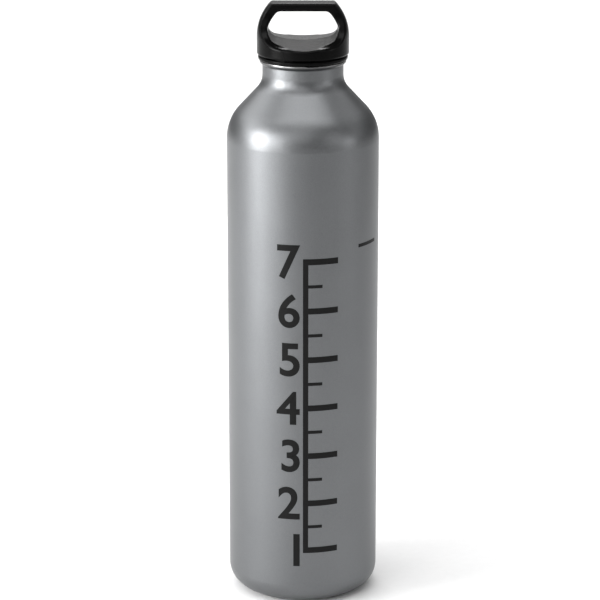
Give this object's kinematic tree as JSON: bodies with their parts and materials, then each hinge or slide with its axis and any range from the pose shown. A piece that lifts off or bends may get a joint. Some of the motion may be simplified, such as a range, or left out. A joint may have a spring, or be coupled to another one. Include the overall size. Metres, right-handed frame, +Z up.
{
  "type": "camping fuel bottle",
  "caption": "Slim one-piece aluminium fuel bottle with a rounded shoulder, threaded neck and a black push-and-turn screw cap that carries a finger loop.",
  "frame": {"origin": "centre of the bottle's foot, on the surface that it stands on", "axes": "+Z up along the bottle's axis; the cap's loop lies in the XZ plane, so its window opens along Y"},
  "size_m": [0.074, 0.074, 0.2966],
  "materials": {
    "bottle_metal": "satin silver-grey metallic coat, lip left bare",
    "plug_plastic": "black, fine satin",
    "cap_plastic": "black, fine satin moulding",
    "seal_rubber": "black, matte",
    "spring_steel": "drawn wire and stamped sheet"
  },
  "bodies": {
    "bottle": {"bottle_shell": "bottle_metal"},
    "seal": {"plug_seal": "seal_rubber"},
    "plug": {"cap_plug": "plug_plastic", "return_spring": "spring_steel"},
    "washer": {"slip_washer": "spring_steel"},
    "cap": {"cap_shell": "cap_plastic"}
  },
  "joints": [
    {"name": "cap_lift", "type": "slide", "parent": "bottle", "child": "seal", "axis": [0, 0, 1], "range_m": [0, 0.014]},
    {"name": "cap_turn", "type": "hinge", "parent": "seal", "child": "plug", "pos_m": [0, 0, 0.26932], "axis": [0, 0, 1], "range_deg": [0, 1440]},
    {"name": "cap_push", "type": "slide", "parent": "plug", "child": "washer", "axis": [0, 0, 1], "range_m": [-0.0007, 0], "stiffness_N_per_m": 900, "springref_m": 0.008, "deforming": ["return_spring"]},
    {"name": "cap_idle", "type": "hinge", "parent": "washer", "child": "cap", "pos_m": [0, 0, 0.275], "axis": [0, 0, 1], "continuous": true}
  ],
  "couplings": [
    {"joint": "cap_lift", "follows": "cap_turn", "m_per_rad": 0.00055704}
  ]
}
